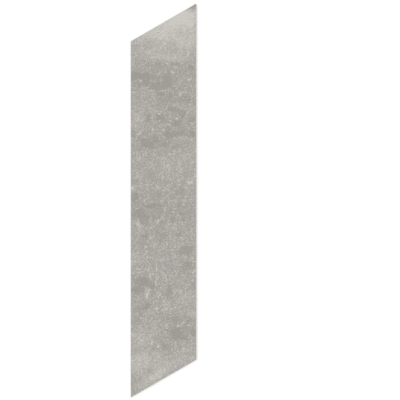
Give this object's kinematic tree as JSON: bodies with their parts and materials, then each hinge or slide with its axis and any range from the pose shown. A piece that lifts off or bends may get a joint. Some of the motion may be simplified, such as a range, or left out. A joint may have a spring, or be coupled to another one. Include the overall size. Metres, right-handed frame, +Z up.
{
  "type": "chevron wall tile",
  "caption": "Long flat porcelain wall tile with both ends cut parallel on a 30 degree slant, matt concrete-look face and keyed back; pairs with its mirror image to lay a chevron.",
  "frame": {"origin": "middle of the back, on the plane of the back's ribs", "axes": "+X across the tile from long edge to long edge, +Y along the long edges, +Z up out of the decorated face"},
  "size_m": [0.0996, 0.5972, 0.009],
  "materials": {
    "matt_glazed_porcelain": "matt glazed face printed as grey concrete, unglazed grey body on the ground edges and the keyed back"
  },
  "bodies": {
    "root": {"chevron_tile": "matt_glazed_porcelain"}
  },
  "joints": []
}
